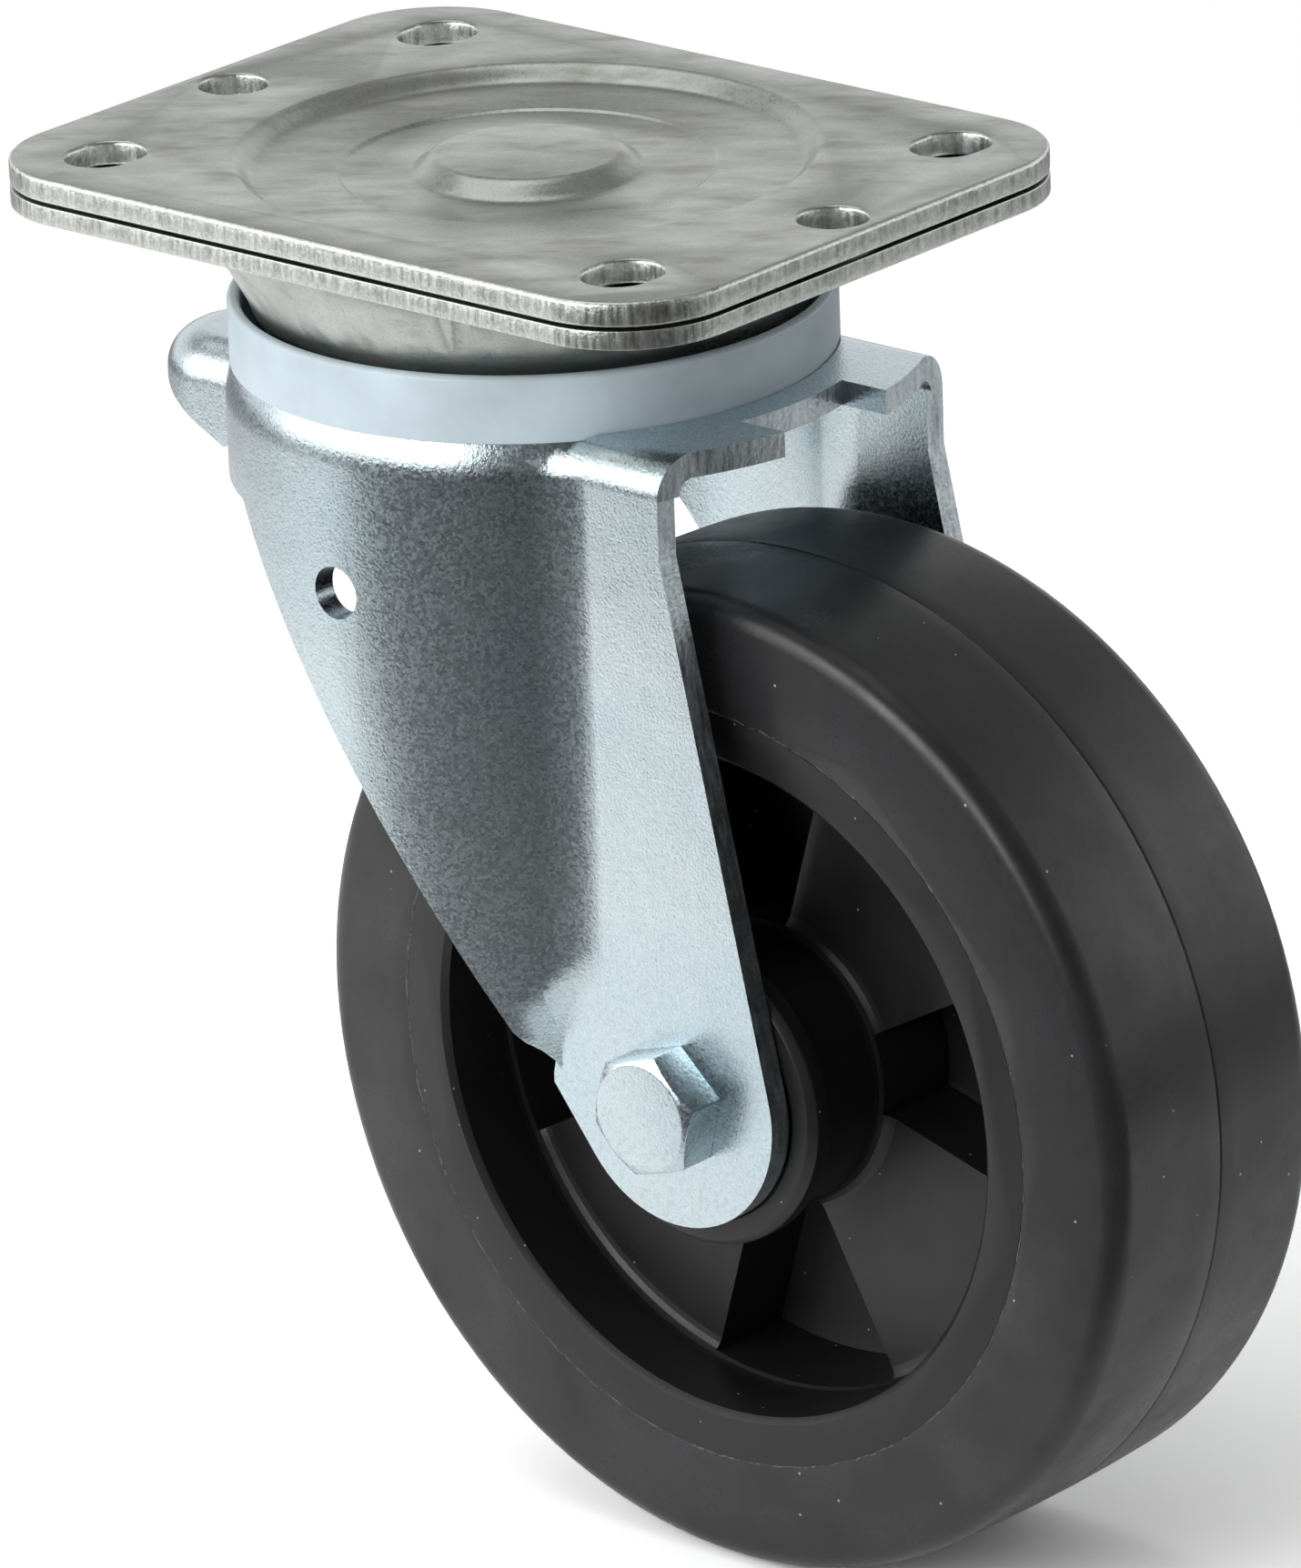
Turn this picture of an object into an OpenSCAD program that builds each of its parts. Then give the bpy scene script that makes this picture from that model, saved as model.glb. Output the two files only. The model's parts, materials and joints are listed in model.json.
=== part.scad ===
// Heavy-duty swivel castor with a slotted mounting plate and a rubber-tyred wheel.
// Origin: centre of the plate's top face, on the swivel axis. +Z up, +X along the
// axle towards the bolt's head, +Y the way the wheel trails. Millimetres.

/* [Mounting plate] */
// Length of the plate, along the trail
plate_length = 138; // [130:0.5:160]
// Width of the plate, along the axle
plate_width = 108; // [104:0.5:130]
// Radius of the plate's corners
plate_corner_r = 18; // [10:0.5:24]
// Thickness of the top plate
top_plate_t = 4; // [3:0.1:5]
// Thickness of the race plate
race_plate_t = 3; // [2.5:0.1:4]
// Gap between the two plates
plate_gap = 0.4; // [0.2:0.1:0.8]
// Spacing of the corner slots along the plate
slot_pitch_length = 105; // [100:0.5:110]
// Spacing of the corner slots across the plate
slot_pitch_width = 77.5; // [74:0.5:84]
// Spacing of the two end holes along the plate
end_hole_pitch = 122; // [116:0.5:124]
// Width of each slot, and diameter of the end holes
slot_width = 11; // [9:0.1:12]
// End-to-end length of each slot, across the plate
slot_length = 13.5; // [12:0.1:16]
// Width between the pressed dish and the race plate's cup
dish_margin = 3.8; // [3:0.1:6]
// Depth of the pressed dish
dish_depth = 2.5; // [1.5:0.1:2.8]
// Width of the slope down into the dish
dish_slope_width = 4; // [3:0.1:6]
// Radius of the dish's flat floor
dish_floor_r = 29.7; // [26:0.1:36]
// Step from the dish's ring to its floor
dish_step = 0.5; // [0.3:0.1:0.8]
// Radius of the dome's foot
dome_foot_r = 18.7; // [17:0.1:22]
// Radius of the dome's top
dome_top_r = 14; // [12:0.1:15]
// Height of the dome above the dish's floor
dome_height = 2.7; // [2:0.1:2.9]

/* [Swivel head] */
// Width of the flat race plate beside the cup's mouth
cup_margin = 1.2; // [0.8:0.1:4]
// Gap between the cup's foot and the dust ring
ring_gap = 1.2; // [0.8:0.1:3]
// Depth of the cup's underside below the plate's top face
cup_drop = 25; // [23:0.5:27]
// Diameter of an upper ball
upper_ball_d = 8; // [7:0.1:9]
// Pitch radius of the upper balls
upper_ball_pitch_r = 36; // [34:0.5:38]
// Number of upper balls
upper_ball_count = 24; // [16:1:24]
// Diameter of a lower ball
lower_ball_d = 5; // [4.5:0.1:6]
// Pitch radius of the lower balls
lower_ball_pitch_r = 24; // [22:0.5:25]
// Number of lower balls
lower_ball_count = 22; // [16:1:22]
// Clearance between a ball and its groove
ball_clearance = 0.3; // [0.2:0.05:0.4]
// Diameter of the king pin's shank
king_pin_d = 20; // [16:0.5:22]
// Diameter of the king pin's head
king_pin_head_d = 27; // [25:0.5:28]
// Diameter of the king pin's riveted end
king_pin_rivet_d = 28; // [26:0.5:32]
// Height of the king pin's riveted end
king_pin_rivet_h = 3; // [2:0.1:4]
// Diameter of the lower race
lower_race_d = 58; // [56:0.5:62]
// Thickness of the lower race
lower_race_t = 3.5; // [3:0.1:4.5]
// Outer diameter of the dust ring
dust_ring_d = 94.6; // [94:0.1:96]
// Wall of the dust ring
dust_ring_wall = 2; // [1.5:0.1:2.4]
// Height of the dust ring above the fork's head
dust_ring_height = 9.6; // [8:0.1:12]

/* [Fork] */
// Thickness of the fork's sheet
sheet_t = 4; // [3.5:0.1:5]
// Outer radius of the drum
drum_r = 48.2; // [47.5:0.1:50]
// Gap between the cup's underside and the fork's head
head_gap = 6; // [5.5:0.1:6.5]
// Height of the rounded shoulder of the drum
shoulder_h = 7; // [5:0.1:9]
// How far the shoulder leans in under the dust ring
shoulder_lean = 2; // [1:0.1:2.4]
// Width between the legs' inner faces
leg_gap = 60; // [60:0.5:64]
// Inside radius of the bend from head to leg
bend_r = 2.5; // [2:0.1:4]
// Radius of the fillet between drum and leg
neck_r = 16.5; // [12:0.5:20]
// Distance of the axle from the swivel axis
wheel_trail = 52; // [48:0.5:56]
// Depth of the axle below the plate's top face
axle_drop = 135; // [133:0.5:140]
// Radius of the leg's end round the axle
leg_end_r = 20; // [18:0.5:22]
// Width of the flat that is pressed round the leg's end
flat_margin = 2; // [1:0.5:3]
// Radius of the head's front edge
head_front_r = 61.5; // [60:0.1:66]
// Distance of the leg's front edge from the swivel axis
front_edge_y = 53.4; // [52:0.1:55]
// Depth at which the leg's front edge turns forward
front_turn_drop = 47; // [44:0.5:55]
// Depth of the drum's rear skirt
skirt_drop = 50; // [47:0.5:53]
// Distance behind the swivel axis at which the slanted cut starts
cut_start = 24.5; // [22:0.5:27]
// Slope of the slanted cut, depth over length
cut_slope = 1.54; // [1.5:0.005:1.6]
// How far the slanted cut bows into the drum
cut_bow = 2.2; // [1:0.1:3]
// Distance of the lip behind the leg's end in front of the swivel axis
lip_y = 28; // [26:0.5:30]
// Depth of that lip
lip_drop = 136.5; // [134:0.5:138]
// Width of the front notch
notch_width = 24; // [16:0.5:30]
// Radius of the notch's floor, about the swivel axis
notch_r = 53; // [52:0.1:56]
// Diameter of the side holes
side_hole_d = 8.4; // [6:0.1:10]
// Depth of the side holes
side_hole_drop = 58.5; // [56:0.5:61]
// Width of the rear nose
nose_width = 28; // [24:0.5:32]
// Distance of the nose's tip behind the swivel axis
nose_reach = 73; // [70:0.5:78]
// Depth of the nose's top
nose_top_drop = 39; // [38:0.5:41]
// Depth of the nose's lowest edge
nose_foot_drop = 55; // [53:0.5:58]
// Depth of the nose's tip where its slanted cut starts
nose_tip_drop = 44.5; // [44:0.5:48]
// Slope of the nose's slanted cut, depth over length
nose_slope = 0.52; // [0.45:0.01:0.7]

/* [Wheel] */
// Diameter of the tread
wheel_d = 160; // [150:0.5:162]
// Width across the rim
rim_width = 50; // [46:0.5:52]
// Width of the tread between the shoulders
tread_width = 41; // [36:0.5:42]
// Radius of the tyre's shoulder
tyre_shoulder_r = 3.7; // [3:0.1:4]
// Height of the tread's crown
tread_crown = 0.5; // [0.2:0.1:1.5]
// Width of the upright band beside the rim
side_band = 4.4; // [3:0.1:8]
// Depth of the parting line round the tread
parting_depth = 0.25; // [0.1:0.05:0.5]
// Inner radius of the rim
rim_inner_r = 54; // [52:0.1:56]
// Thickness of the rim at its sides
rim_wall = 7.6; // [6:0.1:9]
// Radius of the wheel's hub
hub_r = 22.5; // [21:0.1:23]
// Distance between the two outer web faces
web_width = 20; // [16:0.5:24]
// Thickness of the web's panels
web_t = 5; // [4:0.1:6]
// Radius of the fillets from the web to hub and rim
web_fillet_r = 2.5; // [1:0.1:4]
// Number of panels on each side
panel_count = 4; // [4:1:5]
// Angle of the first near panel's middle, from the trail upwards
panel_angle = 51; // [0:1:90]
// Radius of the hub seals' collar
seal_r = 24.5; // [24:0.1:26]
// Thickness of the hub seals' collar
seal_t = 4.2; // [3:0.1:4.4]
// Clearance between a hub seal and the leg
seal_clearance = 0.4; // [0.3:0.05:0.6]

/* [Axle and bearing] */
// Thread diameter of the axle bolt
bolt_d = 12; // [10:0.1:12]
// Width across flats of the bolt's head and of the nut
hex_width = 18; // [17:0.1:19]
// Height of the bolt's head
bolt_head_h = 7.5; // [6:0.1:8]
// Angle of the bolt's head
bolt_head_angle = 17; // [0:1:60]
// Clearance round the bolt
bolt_clearance = 0.1; // [0.05:0.05:0.2]
// Length of bolt that stands out of the nut
bolt_stand_out = 3; // [1:0.5:5]
// Height of the nut, with its collar
nut_h = 12; // [10:0.5:14]
// Height of the nut's round collar
nut_collar_h = 3; // [2:0.1:4]
// Diameter of the nut's washer
washer_d = 24; // [22:0.5:28]
// Thickness of the nut's washer
washer_t = 2.5; // [1.5:0.1:3]
// Outer diameter of the axle tube
tube_d = 20; // [18:0.5:20]
// Diameter of a roller
roller_d = 4; // [3.5:0.1:4]
// Length of a roller
roller_length = 38; // [30:0.5:40]
// Number of rollers
roller_count = 14; // [10:1:14]
// Running clearance of the rollers
roller_clearance = 0.05; // [0.03:0.01:0.1]
// Width of the roller cage's end rings
cage_rim = 2.5; // [2:0.1:4]
// Wall of the bearing sleeve
sleeve_wall = 2.5; // [2:0.1:3]
// Length of the bearing sleeve
sleeve_length = 48; // [46:0.5:50]

/* [Hidden] */
$fn = 96;

ZINC = [0.74, 0.79, 0.81];
DULL_ZINC = [0.62, 0.63, 0.62];
STEEL = [0.55, 0.56, 0.58];
SEAL_GREY = [0.63, 0.69, 0.72];
POLYAMIDE = [0.07, 0.07, 0.07];
RUBBER = [0.16, 0.16, 0.17];
NYLON = [0.85, 0.87, 0.88];

// Enough to cut right through any piece
through = 200;
// Fit between pieces of one body that are pressed together
press_gap = 0.02;
// Fit of the king pin in the fork's head
swivel_gap = 0.06;

race_top = -top_plate_t - plate_gap;
race_bottom = race_top - race_plate_t;
cup_bottom = -cup_drop;
cup_floor = cup_bottom + race_plate_t;
cup_fillet_r = 3;
cup_corner_r = 4;
cup_mouth_r = plate_width / 2 - cup_margin;
cup_top_r = cup_mouth_r - cup_fillet_r;
dish_r = cup_top_r - dish_margin;

head_top = cup_bottom - head_gap;
head_bottom = head_top - sheet_t;
upper_ball_z = (cup_bottom + head_top) / 2;
upper_groove_r = upper_ball_d / 2 + ball_clearance;
lower_gap = lower_ball_d * 0.6;
lower_race_top = head_bottom - lower_gap;
lower_race_bottom = lower_race_top - lower_race_t;
lower_ball_z = (head_bottom + lower_race_top) / 2;
lower_groove_r = lower_ball_d / 2 + ball_clearance;

dome_top_z = -dish_depth - dish_step + dome_height;
pin_r = king_pin_d / 2;

ring_r = dust_ring_d / 2;
cup_foot_r = ring_r - dust_ring_wall - ring_gap;
ring_seat_depth = 1;
ring_seat_z = head_top - ring_seat_depth;
ring_seat_inner_r = ring_r - dust_ring_wall - 0.4;
ring_seat_outer_r = ring_r + 0.2;

leg_in = leg_gap / 2;
leg_out = leg_in + sheet_t;
drum_in_r = drum_r - sheet_t;
bend_out_r = bend_r + sheet_t;
fork_foot = -axle_drop - leg_end_r - 1;
drum_foot = -axle_drop - leg_end_r / 4;
nose_root = -drum_in_r / 2;
fork_front = wheel_trail + leg_end_r + 1;

wheel_r = wheel_d / 2;
rim_out = rim_width / 2;
bond_r = rim_inner_r + rim_wall;
web_out = web_width / 2;
tread_half = tread_width / 2;
seal_out = leg_in - seal_clearance;
seal_in = seal_out - seal_t;
tube_r = tube_d / 2;
roller_pitch_r = tube_r + roller_d / 2;
sleeve_in_r = tube_r + roller_d;
sleeve_out_r = sleeve_in_r + sleeve_wall;
tube_clearance = 0.3;
// Step that the web's pockets leave beside hub and rim
root_step = 0.6;
// Step of the bond between rim and tyre
bond_step = 3;

// Points along an arc about [x, y], both ends included
function arc(x, y, r, from, to, steps = 6) =
    [for (i = [0 : steps]) let (a = from + (to - from) * i / steps) [x + r * cos(a), y + r * sin(a)]];

module along_axle() {
    translate([0, wheel_trail, -axle_drop]) rotate([0, 90, 0]) children();
}

// Extrudes an outline drawn as [y, z] through the whole width
module across(width = 2 * through) {
    rotate([90, 0, 90]) linear_extrude(width, center = true) children();
}

module rounded_rectangle(w, l, r) {
    square([w - 2 * r, l], center = true);
    square([w, l - 2 * r], center = true);
    for (x = [-1, 1], y = [-1, 1]) translate([x * (w / 2 - r), y * (l / 2 - r)]) circle(r);
}

module slot() {
    straight = slot_length - slot_width;
    square([straight, slot_width], center = true);
    for (x = [-1, 1]) translate([x * straight / 2, 0]) circle(d = slot_width);
}

module plate_outline() {
    difference() {
        rounded_rectangle(plate_width, plate_length, plate_corner_r);
        for (x = [-1, 1], y = [-1, 1])
            translate([x * slot_pitch_width / 2, y * slot_pitch_length / 2]) slot();
        for (y = [-1, 1]) translate([0, y * end_hole_pitch / 2]) circle(d = slot_width);
    }
}

// A torus-shaped groove for a ring of balls
module ball_groove(pitch_r, groove_r, z) {
    translate([0, 0, z]) rotate_extrude() translate([pitch_r, 0]) circle(groove_r, $fn = 48);
}

module ball_ring(pitch_r, d, count, z) {
    for (i = [0 : count - 1]) rotate([0, 0, i * 360 / count])
        translate([pitch_r, 0, z]) sphere(d = d, $fn = 32);
}

// Points along a smooth step from [r0, z0] to [r1, z1], both ends included
function ramp(r0, z0, r1, z1, steps = 8) =
    [for (i = [0 : steps]) let (t = i / steps) [r0 + (r1 - r0) * t, z0 + (z1 - z0) * (1 - cos(180 * t)) / 2]];

// Line of the pressed dish from the axis outwards, with the plate's flat at z
function dish_line(z) = concat(
    [[0, z + dome_top_z]],
    ramp(dome_top_r, z + dome_top_z, dome_foot_r, z - dish_depth - dish_step),
    ramp(dish_floor_r - 2 * dish_step, z - dish_depth - dish_step, dish_floor_r, z - dish_depth, 3),
    ramp(dish_r - dish_slope_width, z - dish_depth, dish_r, z)
);

module top_plate() {
    rim = 1;
    upper = dish_line(0);
    lower = dish_line(-top_plate_t);
    color(DULL_ZINC) {
        translate([0, 0, -top_plate_t]) linear_extrude(top_plate_t) difference() {
            plate_outline();
            circle(dish_r);
        }
        rotate_extrude() polygon(concat(
            upper, [[dish_r + rim, 0], [dish_r + rim, -top_plate_t]],
            [for (i = [len(lower) - 1 : -1 : 0]) lower[i]]
        ));
    }
}

module race_plate() {
    rim = 0.5;
    wall_top_z = race_bottom - cup_fillet_r;
    wall_foot_z = cup_bottom + cup_corner_r;
    inner_corner_r = cup_corner_r - 1;
    inner_corner_from = cup_foot_r - race_plate_t - inner_corner_r;
    color(ZINC) difference() {
        union() {
            translate([0, 0, race_bottom]) linear_extrude(race_plate_t) difference() {
                plate_outline();
                circle(cup_mouth_r);
            }
            rotate_extrude() polygon(concat(
                [[pin_r + press_gap, cup_bottom]],
                arc(cup_foot_r - cup_corner_r, wall_foot_z, cup_corner_r, -90, 0),
                arc(cup_mouth_r, wall_top_z, cup_fillet_r, 180, 90),
                [[cup_mouth_r + rim, race_bottom], [cup_mouth_r + rim, race_top], [cup_top_r, race_top]],
                [[cup_top_r - race_plate_t, wall_top_z]],
                arc(inner_corner_from, cup_floor + inner_corner_r, inner_corner_r, 0, -90),
                [[pin_r + press_gap, cup_floor]]
            ));
        }
        ball_groove(upper_ball_pitch_r, upper_groove_r, upper_ball_z);
    }
}

module king_pin() {
    rivet_edge = king_pin_rivet_h / 3;
    head_top_z = dome_top_z - top_plate_t;
    color(STEEL) rotate_extrude() polygon([
        [0, head_top_z],
        [king_pin_head_d / 2 - 1, head_top_z],
        [king_pin_head_d / 2, head_top_z - 1],
        [king_pin_head_d / 2, cup_floor],
        [pin_r, cup_floor],
        [pin_r, lower_race_bottom],
        [king_pin_rivet_d / 2, lower_race_bottom],
        [king_pin_rivet_d / 2, lower_race_bottom - rivet_edge],
        [king_pin_rivet_d / 4, lower_race_bottom - king_pin_rivet_h],
        [0, lower_race_bottom - king_pin_rivet_h]
    ]);
}

module lower_race() {
    chamfer = 1;
    color(STEEL) difference() {
        rotate_extrude() polygon([
            [pin_r + press_gap, lower_race_top],
            [lower_race_d / 2, lower_race_top],
            [lower_race_d / 2, lower_race_bottom + chamfer],
            [lower_race_d / 2 - chamfer, lower_race_bottom],
            [pin_r + press_gap, lower_race_bottom]
        ]);
        ball_groove(lower_ball_pitch_r, lower_groove_r, lower_ball_z);
    }
}

module upper_balls() {
    color(STEEL) ball_ring(upper_ball_pitch_r, upper_ball_d, upper_ball_count, upper_ball_z);
}

module lower_balls() {
    color(STEEL) ball_ring(lower_ball_pitch_r, lower_ball_d, lower_ball_count, lower_ball_z);
}

// Bell with a rounded shoulder that leans in by lean over its height, standing on foot
module bell(r, top, lean, height, foot) {
    turn = 2 * atan(lean / height);
    round_r = height / sin(turn);
    rotate_extrude() polygon(concat(
        [[0, foot], [r, foot]],
        arc(r - round_r, top - height, round_r, 0, turn),
        [[0, top]]
    ));
}

// Upside-down channel along Y from y0 to y1, with rounded upper edges
module channel(half, top, round_r, foot, y0, y1) {
    translate([0, y1, 0]) rotate([90, 0, 0]) linear_extrude(y1 - y0) {
        translate([-half, foot]) square([2 * half, top - round_r - foot]);
        translate([round_r - half, foot]) square([2 * (half - round_r), top - foot]);
        for (x = [-1, 1]) translate([x * (half - round_r), top - round_r]) circle(round_r, $fn = 48);
    }
}

// Fillet in plan between a drum of radius r and a channel of half width half, with its top edge rounded
module neck_fillet(r, half, fillet, top, round_r, foot) {
    run_in = 0.02;
    cx = half + fillet - run_in;
    cy = sqrt(pow(r + fillet - run_in, 2) - pow(cx, 2));
    corner = [half, sqrt(r * r - half * half)];
    for (side = [0, 1]) mirror([side, 0, 0]) difference() {
        translate([0, 0, foot]) linear_extrude(top - foot)
            polygon([[half - 1, cy], [cx, cy], (r - 1) / norm([cx, cy]) * [cx, cy], (r - 1) / r * corner]);
        translate([cx, cy, 0]) rotate_extrude() polygon(concat(
            [[0, foot - 1], [fillet, foot - 1]],
            arc(fillet + round_r, top - round_r, round_r, 180, 90),
            [[fillet + round_r, top + 1], [0, top + 1]]
        ));
    }
}

// Round end of the nose, with its top edge rounded
module nose_end(half, reach, top, round_r, foot) {
    translate([0, half - reach, 0]) rotate([0, 0, 180]) rotate_extrude(angle = 180) {
        translate([0, foot]) square([half, top - round_r - foot]);
        translate([0, foot]) square([half - round_r, top - foot]);
        translate([half - round_r, top - round_r]) circle(round_r, $fn = 48);
    }
}

// Body of the nose, from its round end to within the drum
module nose_body(half, reach, top, round_r, foot) {
    channel(half, top, round_r, foot, half - reach, nose_root);
}

// Side view of the leg, as [y, z], down to the axle
module leg_side() {
    axle = [wheel_trail, -axle_drop];
    turn = [front_edge_y, -front_turn_drop];
    lip = [lip_y, -lip_drop];
    to_turn = turn - axle;
    to_lip = lip - axle;
    front_angle = atan2(to_turn[1], to_turn[0]) - acos(leg_end_r / norm(to_turn));
    back_angle = atan2(to_lip[1], to_lip[0]) + acos(leg_end_r / norm(to_lip));
    lip_root_y = lip_y + 1;
    polygon([
        [lip_root_y, 0],
        [through, 0],
        [through, head_bottom - bend_r],
        [front_edge_y, head_bottom - bend_r],
        turn,
        axle + leg_end_r * [cos(front_angle), sin(front_angle)],
        axle,
        axle + leg_end_r * [cos(back_angle), sin(back_angle)],
        lip,
        [lip_root_y, cut_z(lip_root_y) + 1]
    ]);
}

// The flat leg with its round end
module leg_room() {
    across() leg_side();
    along_axle() cylinder(r = leg_end_r, h = 2 * through, center = true);
}

// The slanted cut is a wide arc through two points of the side view
cut_top = [-cut_start, -skirt_drop];
cut_run = (lip_y + cut_start) * [1, -cut_slope];
cut_arc_r = (pow(norm(cut_run) / 2, 2) + pow(cut_bow, 2)) / (2 * cut_bow);
cut_centre = cut_top + cut_run / 2 + (cut_arc_r - cut_bow) / norm(cut_run) * [cut_run[1], -cut_run[0]];

// Angle on that arc, and height of the cut, at distance y from the swivel axis
function cut_angle(y) = acos((y - cut_centre[0]) / cut_arc_r);
function cut_z(y) = cut_centre[1] + cut_arc_r * sin(cut_angle(y));

// Side view of the drum, above its rear skirt and its slanted cut
module drum_side() {
    front = drum_r + 1;
    polygon(concat(
        [[-through, 0], [front, 0]],
        arc(cut_centre[0], cut_centre[1], cut_arc_r, cut_angle(front), cut_angle(-cut_start), 10),
        [[-through, -skirt_drop]]
    ));
}

// Side view of the nose, as [y, z]
module nose_side() {
    low = -nose_foot_drop;
    tip = [-nose_reach - 1, -nose_tip_drop];
    cut_end_y = tip[0] + (nose_foot_drop - nose_tip_drop) / nose_slope;
    polygon([[tip[0], 0], [0, 0], [0, -skirt_drop], [-drum_in_r, -skirt_drop], [cut_end_y, low], tip]);
}

// Drum with its necks, apart from the flats that are pressed round the legs' ends
module drum(r, half, fillet, top, round_r, foot, flat_r) {
    difference() {
        union() {
            bell(r, top, shoulder_lean, shoulder_h, foot);
            neck_fillet(r, half, fillet, top, round_r, foot);
        }
        along_axle() cylinder(r = flat_r, h = 2 * through, center = true);
    }
}

module drum_outside() {
    drum(drum_r, leg_out, neck_r, head_top, bend_out_r, drum_foot, leg_end_r + flat_margin);
}

module drum_inside() {
    flat_r = leg_end_r + flat_margin + 1;
    drum(drum_in_r, leg_in, neck_r + sheet_t, head_bottom, bend_r, drum_foot - 1, flat_r);
}

// What is cut from the front of the head: beyond its rounded front edge, and the notch
module front_trim() {
    high = 1;
    bend_foot = head_bottom - bend_r;
    bend_from = leg_out - bend_out_r;
    ear_y = sqrt(pow(head_front_r, 2) - pow(bend_from, 2));
    edge_slope = (ear_y - front_edge_y) / (leg_out - bend_from);
    inside = bend_from - 1;
    run_out = 1;
    translate([0, 0, bend_foot]) linear_extrude(high - bend_foot) difference() {
        translate([-through, drum_r]) square([2 * through, through]);
        circle(head_front_r);
        polygon([
            [-through, 0],
            [-leg_out - run_out, front_edge_y - run_out * edge_slope],
            [-inside, ear_y + edge_slope],
            [inside, ear_y + edge_slope],
            [leg_out + run_out, front_edge_y - run_out * edge_slope],
            [through, 0]
        ]);
    }
    translate([0, 0, head_bottom - 1]) linear_extrude(high - head_bottom + 1) difference() {
        translate([-notch_width / 2, 0]) square([notch_width, through]);
        circle(notch_r);
    }
}

module fork() {
    nose_half = nose_width / 2;
    nose_in = nose_reach - sheet_t;
    nose_in_top = -nose_top_drop - sheet_t;
    low = fork_foot - 1;
    color(ZINC) difference() {
        union() {
            intersection() {
                drum_outside();
                across() drum_side();
            }
            intersection() {
                channel(leg_out, head_top, bend_out_r, fork_foot, 0, fork_front);
                union() leg_room();
            }
            intersection() {
                nose_end(nose_half, nose_reach, -nose_top_drop, bend_out_r, fork_foot);
                across() nose_side();
            }
            intersection() {
                nose_body(nose_half, nose_reach, -nose_top_drop, bend_out_r, fork_foot);
                across() nose_side();
            }
        }
        drum_inside();
        channel(leg_in, head_bottom, bend_r, low, 0, fork_front + 1);
        nose_end(nose_half - sheet_t, nose_in, nose_in_top, bend_r, low);
        nose_body(nose_half - sheet_t, nose_in, nose_in_top, bend_r, low);
        front_trim();
        translate([0, 0, ring_seat_z]) linear_extrude(through) difference() {
            circle(ring_seat_outer_r);
            circle(ring_seat_inner_r);
        }
        ball_groove(upper_ball_pitch_r, upper_groove_r, upper_ball_z);
        ball_groove(lower_ball_pitch_r, lower_groove_r, lower_ball_z);
        translate([0, 0, head_bottom - 1]) cylinder(r = pin_r + swivel_gap, h = sheet_t + 2);
        along_axle() cylinder(d = bolt_d + 2 * bolt_clearance, h = 2 * through, center = true);
        translate([0, 0, -side_hole_drop]) rotate([0, 90, 0])
            cylinder(d = side_hole_d, h = 2 * through, center = true);
    }
}

module dust_ring() {
    edge = 0.5;
    inner_r = ring_r - dust_ring_wall;
    top = head_top + dust_ring_height;
    color(SEAL_GREY) rotate_extrude() polygon([
        [inner_r, ring_seat_z],
        [ring_r, ring_seat_z],
        [ring_r, top - edge],
        [ring_r - edge, top],
        [inner_r + edge, top],
        [inner_r, top - edge]
    ]);
}

// Hexagon bar along Z with its upper corners turned off
module hexagon(h, turned_ends = 1) {
    corner_r = hex_width / 2 / cos(30);
    face_r = 0.47 * hex_width;
    drop = (corner_r - face_r) * tan(30);
    low = turned_ends == 2 ? drop : 0;
    intersection() {
        cylinder(r = corner_r, h = h, $fn = 6);
        rotate_extrude() polygon([
            [0, 0],
            [corner_r - low / tan(30), 0],
            [corner_r, low],
            [corner_r, h - drop],
            [face_r, h],
            [0, h]
        ]);
    }
}

module axle_bolt() {
    length = 2 * leg_out + washer_t + nut_h + bolt_stand_out;
    tip = 1;
    color(ZINC) along_axle() {
        translate([0, 0, leg_out]) rotate([0, 0, bolt_head_angle + 90]) hexagon(bolt_head_h);
        translate([0, 0, leg_out - length]) rotate_extrude() polygon([
            [0, 0],
            [bolt_d / 2 - tip, 0],
            [bolt_d / 2, tip],
            [bolt_d / 2, length + 1],
            [0, length + 1]
        ]);
    }
}

module nut_washer() {
    color(ZINC) along_axle() translate([0, 0, -leg_out - washer_t]) difference() {
        cylinder(d = washer_d, h = washer_t);
        translate([0, 0, -1]) cylinder(r = bolt_d / 2 + bolt_clearance, h = washer_t + 2);
    }
}

// Radius of the nut's round collar and of the pocket in it
function nut_collar_r() = hex_width / 2 - 0.6;
function insert_r() = nut_collar_r() - 1;

module axle_nut() {
    hex_h = nut_h - nut_collar_h;
    color(ZINC) along_axle() translate([0, 0, -leg_out - washer_t - nut_h]) difference() {
        union() {
            translate([0, 0, nut_collar_h]) hexagon(hex_h, 2);
            cylinder(r = nut_collar_r(), h = nut_collar_h + 1);
        }
        translate([0, 0, -1]) cylinder(r = bolt_d / 2 + bolt_clearance, h = nut_h + 2);
        translate([0, 0, -1]) cylinder(r = insert_r(), h = nut_collar_h + 1);
    }
}

module nut_lock_insert() {
    lip = 0.5;
    color(NYLON) along_axle() translate([0, 0, -leg_out - washer_t - nut_h + lip]) difference() {
        cylinder(r = insert_r() - press_gap, h = nut_collar_h - lip);
        translate([0, 0, -1]) cylinder(r = bolt_d / 2 + press_gap, h = nut_collar_h + 2);
    }
}

module axle_tube() {
    color(STEEL) along_axle() difference() {
        cylinder(r = tube_r, h = leg_gap, center = true);
        cylinder(r = bolt_d / 2 + bolt_clearance, h = leg_gap + 2, center = true);
    }
}

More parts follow.
